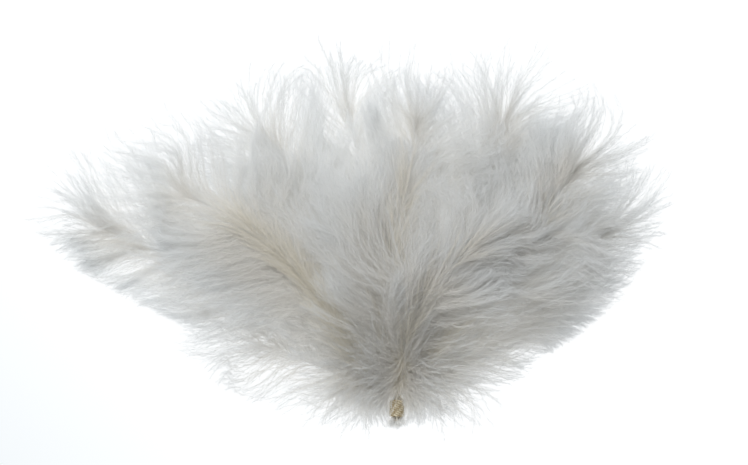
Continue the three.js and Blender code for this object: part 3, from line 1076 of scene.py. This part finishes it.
@dataclass
class Studio:
    """The bright surface, the soft light over it and the camera straight above."""

    aim: tuple[float, float] = (-7.7, 56.8)
    aim_height: float = 12.0
    distance: float = 1.3
    view_width: float = 249.4
    sensor_width: float = 36.0
    surface_half: float = 4.0
    surface_depth: float = 0.0004
    world_light: float = 0.36
    key_power: float = 4.6
    lamp_place: tuple[float, float, float] = (-0.35, 0.47, 0.6)

    def build(self, finish: bpy.types.Material, shift: Array) -> None:
        """Sets up the surface, the lights and the camera.

        Args:
            finish: The surface's material.
            shift: Where the binding is in the row's frame, in millimetres.
        """
        self._surface(finish)
        self._light()
        self._camera(shift)

    def _surface(self, finish: bpy.types.Material) -> None:
        """Lays a wide flat surface just under the fan.

        Args:
            finish: The surface's material.
        """
        half, low = self.surface_half, -self.surface_depth
        mesh = bpy.data.meshes.new("surface")
        corners = [(-half, -half, low), (half, -half, low), (half, half, low), (-half, half, low)]
        mesh.from_pydata(corners, [], [(0, 1, 2, 3)])
        mesh.materials.append(finish)
        made = bpy.data.objects.new("surface", mesh)
        bpy.context.scene.collection.objects.link(made)

    def _light(self) -> None:
        """Adds soft light all round and one wide soft lamp above the fan's far side."""
        world = bpy.data.worlds.new("soft_room")
        world.use_nodes = True
        room = world.node_tree.nodes["Background"]
        room.inputs["Color"].default_value = (1.0, 0.985, 0.955, 1.0)
        room.inputs["Strength"].default_value = self.world_light
        bpy.context.scene.world = world
        lamp = bpy.data.lights.new("soft_lamp", "AREA")
        lamp.shape = "DISK"
        lamp.size = 0.5
        lamp.energy = self.key_power
        holder = bpy.data.objects.new("soft_lamp", lamp)
        holder.location = self.lamp_place
        holder.rotation_euler = (-Vector(self.lamp_place)).to_track_quat("-Z", "Y").to_euler()
        bpy.context.scene.collection.objects.link(holder)

    def _camera(self, shift: Array) -> None:
        """Puts the camera straight above the fan.

        Args:
            shift: Where the binding is in the row's frame, in millimetres.
        """
        lens = bpy.data.cameras.new("camera")
        lens.sensor_width = self.sensor_width
        lens.lens = self.sensor_width * self.distance / (self.view_width * MM)
        lens.clip_end = 20.0
        camera = bpy.data.objects.new("camera", lens)
        camera.location = (
            (shift[0] + self.aim[0]) * MM,
            (shift[1] + self.aim[1]) * MM,
            self.aim_height * MM + self.distance)
        bpy.context.scene.collection.objects.link(camera)
        bpy.context.scene.camera = camera
        scene = bpy.context.scene
        scene.view_settings.view_transform = "Standard"
        scene.cycles.max_bounces = 10
        scene.cycles.diffuse_bounces = 5
        scene.cycles.transmission_bounces = 8


PLUMES = (
    Plume("far_left_plume", 0, (-1, -1), 34, 36, ((-20, 19), (-46, 37), (-75, 50), (-103, 59)),
          ((112, 13),), seed=11, barbs=900, tip_length=0.85, end_length=0.85),
    Plume("mid_left_plume", 0, (0, -1), 36, 34, ((-5, 32), (-9, 57), (-13, 80), (-16, 101)),
          seed=12, barbs=380),
    Plume("lower_right_plume", 0, (1, -1), 32, 19, ((19, 12), (37, 22), (53, 33), (68, 45)),
          ((-98, 13), (-66, 17)), seed=13, barbs=620),
    Plume("small_down_plume", 1, (-1.5, 0), 33, 24, ((-13, 6), (-26, 12), (-38, 17), (-48, 20)),
          ((98, 13),), seed=14, sag=1.0, barbs=90, tuft_barbs=14, cover=0.0),
    Plume("upper_left_plume", 1, (-0.5, 0), 38, 34, ((-10, 26), (-21, 52), (-33, 73), (-44, 91)),
          ((104, 19), (84, 24)), seed=15, sag=0.5, barbs=640, end_length=0.7),
    Plume("right_plume", 1, (1.5, 0), 40, 32, ((17, 17), (35, 33), (54, 47), (73, 59)),
          ((-120, 12),), seed=16, sag=0.6, barbs=620, warmth=0.1, band=60, cover=0.5),
    Plume("left_plume", 2, (-1, 1), 36, 38, ((-17, 22), (-32, 43), (-52, 60), (-74, 71)),
          ((118, 13), (92, 22)), seed=17, sag=0.6, barbs=680, warmth=0.25, cover=0.1, band=400,
          tip_length=0.74,
          locks=((0.62, 70, 30, -20), (0.5, 62, 28, 25), (0.74, 60, 30, -30),
                 (0.44, 58, 42, 6), (0.56, 52, 42, 10), (0.66, 50, 38, 8))),
    Plume("upper_right_plume", 2, (0.5, 0), 37, 38, ((9, 28), (19, 54), (28, 76), (36, 96)),
          seed=18, sag=0.6, barbs=720, cover=0.45, end_length=0.72, tip_length=0.6,
          locks=((0.74, -44, 30, -12), (0.84, -30, 26, -6))),
    Plume("centre_plume", 3, (0, 1), 34, 36, ((-3, 30), (-1, 54), (4, 77), (6, 97)),
          ((140, 12),), seed=19, sag=0.6, barbs=640, warmth=0.15, band=130, cover=0.5,
          root_angle=80, flow=0.2,
          locks=((0.34, 75, 30, -60), (0.46, 40, 34, 40), (0.5, -55, 32, -45),
                 (0.58, 50, 28, -60), (0.4, 56, 45, -24), (0.47, 54, 43, -30),
                 (0.54, 50, 38, -34))),
    Plume("outer_right_plume", 3, (1, 1), 37, 38, ((13, 18), (29, 40), (47, 61), (62, 82)),
          ((-140, 12),), seed=20, sag=0.8, barbs=730, warmth=0.15, band=130, cover=0.6,
          root_angle=76, flow=0.25,
          locks=((0.5, -60, 34, 40), (0.62, 40, 30, -50), (0.7, -50, 28, -30),
                 (0.78, 38, 28, 8), (0.86, 18, 24, 4))),
    Plume("front_plume", 4, (0, 2), 28, 26, ((3, 20), (10, 38), (24, 51), (40, 57)),
          ((-112, 13), (122, 13)), seed=21, sag=0.3, warmth=0.15, band=70, cover=0.6,
          root_angle=94, tip_angle=72, flow=0.1,
          locks=((0.3, 55, 26, -90), (0.42, 30, 32, -60), (0.5, -25, 32, 30),
                 (0.55, -75, 28, 45), (0.7, -10, 26, -25), (0.78, 10, 26, -10))),
)


def main() -> None:
    """Builds the plumes, the thread and the studio, and notes the sizes."""
    logging.basicConfig(level=logging.INFO, format="%(name)s: %(message)s")
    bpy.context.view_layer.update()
    bundle = Bundle()
    low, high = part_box("binding_thread")
    shift = np.array([500 * (low[0] + high[0]), 1000 * high[1] - bundle.top, 0.0])
    down = DownFinish().material()
    for plume in PLUMES:
        plume.build(down, shift)
    ThreadBinding(bundle).build(ThreadFinish().material(), shift)
    Studio().build(SurfaceFinish().material(), shift)


if __name__ == "__main__":
    main()
